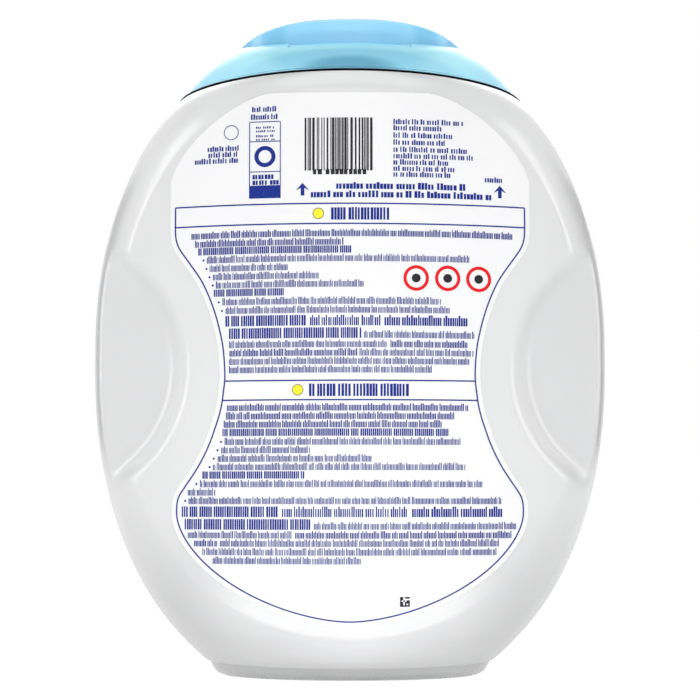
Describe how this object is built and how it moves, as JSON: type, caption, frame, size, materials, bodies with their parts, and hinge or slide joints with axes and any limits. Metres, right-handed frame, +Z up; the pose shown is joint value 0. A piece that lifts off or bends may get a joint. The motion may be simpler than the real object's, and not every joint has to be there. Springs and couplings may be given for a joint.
{
  "type": "laundry pod tub",
  "caption": "Oval blow-moulded tub with side grips and curved label panels, closed by a snapped-on two-tier ring with a hinged flip lid and press latch.",
  "frame": {"origin": "middle of the base ring, on the surface that the tub stands on", "axes": "+Z up, +X across the wide way, -Y out of the back with the hinge, +Y out of the front with the latch"},
  "size_m": [0.209, 0.1508, 0.2661],
  "materials": {
    "tub_plastic": "smooth white blow-moulded polyethylene",
    "ring_plastic": "light blue moulded polypropylene, polished",
    "lid_plastic": "light blue moulded polypropylene, polished",
    "button_plastic": "light blue moulded polypropylene, polished",
    "label_film": "white printed film, satin"
  },
  "bodies": {
    "tub": {"tub_body": "tub_plastic", "lid_collar": "ring_plastic", "back_label": "label_film", "front_label": "label_film"},
    "lid": {"flip_lid": "lid_plastic"},
    "button": {"latch_button": "button_plastic"}
  },
  "joints": [
    {"name": "lid_hinge", "type": "hinge", "parent": "tub", "child": "lid", "pos_m": [0, -0.0405, 0.2512], "axis": [1, 0, 0], "range_deg": [0, 105]},
    {"name": "latch_press", "type": "slide", "parent": "tub", "child": "button", "axis": [0, -1, 0], "range_m": [0, 0.002], "stiffness_N_per_m": 400, "springref_m": -0.002}
  ]
}
